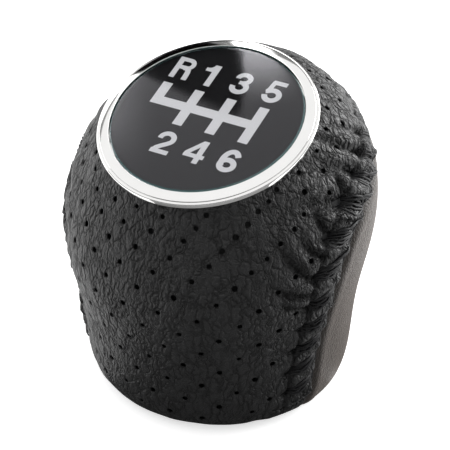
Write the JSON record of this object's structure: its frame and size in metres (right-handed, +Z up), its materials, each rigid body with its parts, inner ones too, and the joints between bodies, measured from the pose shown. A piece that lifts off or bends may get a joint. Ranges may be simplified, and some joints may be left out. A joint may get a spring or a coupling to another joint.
{
  "type": "gear shift knob",
  "caption": "Leather-wrapped gear shift knob with a laced seam, a chromed bezel ring and a domed badge showing the manual shift pattern; it screws onto the lever.",
  "frame": {"origin": "centre of the flat underside, at the mouth of the lever socket", "axes": "+Z up along the lever, +Y forward in the car, +X to the driver's right; the badge faces up and back towards -Y"},
  "size_m": [0.0524, 0.0505, 0.0556],
  "materials": {
    "moulded_core": "plain moulded",
    "insert_brass": "machined",
    "base_plastic": "fine matt",
    "perforated_leather": "pebbled grain, punched holes",
    "plain_leather": "smooth fine grain",
    "thread": "waxed strands",
    "bezel_chrome": "polished",
    "tape_foam": "foam",
    "badge_black": "gloss",
    "gate_silver": "fine grained silver",
    "lens_clear": "clear polished resin"
  },
  "bodies": {
    "root": {"core": "moulded_core", "lever_insert": "insert_brass", "base_plate": "base_plastic", "rear_cover": "perforated_leather", "front_cover": "plain_leather", "seam_thread": "thread", "bezel_ring": "bezel_chrome", "badge_tape": "tape_foam", "badge_plate": "badge_black", "gate_inlay": "gate_silver", "dome_lens": "lens_clear"}
  },
  "joints": []
}
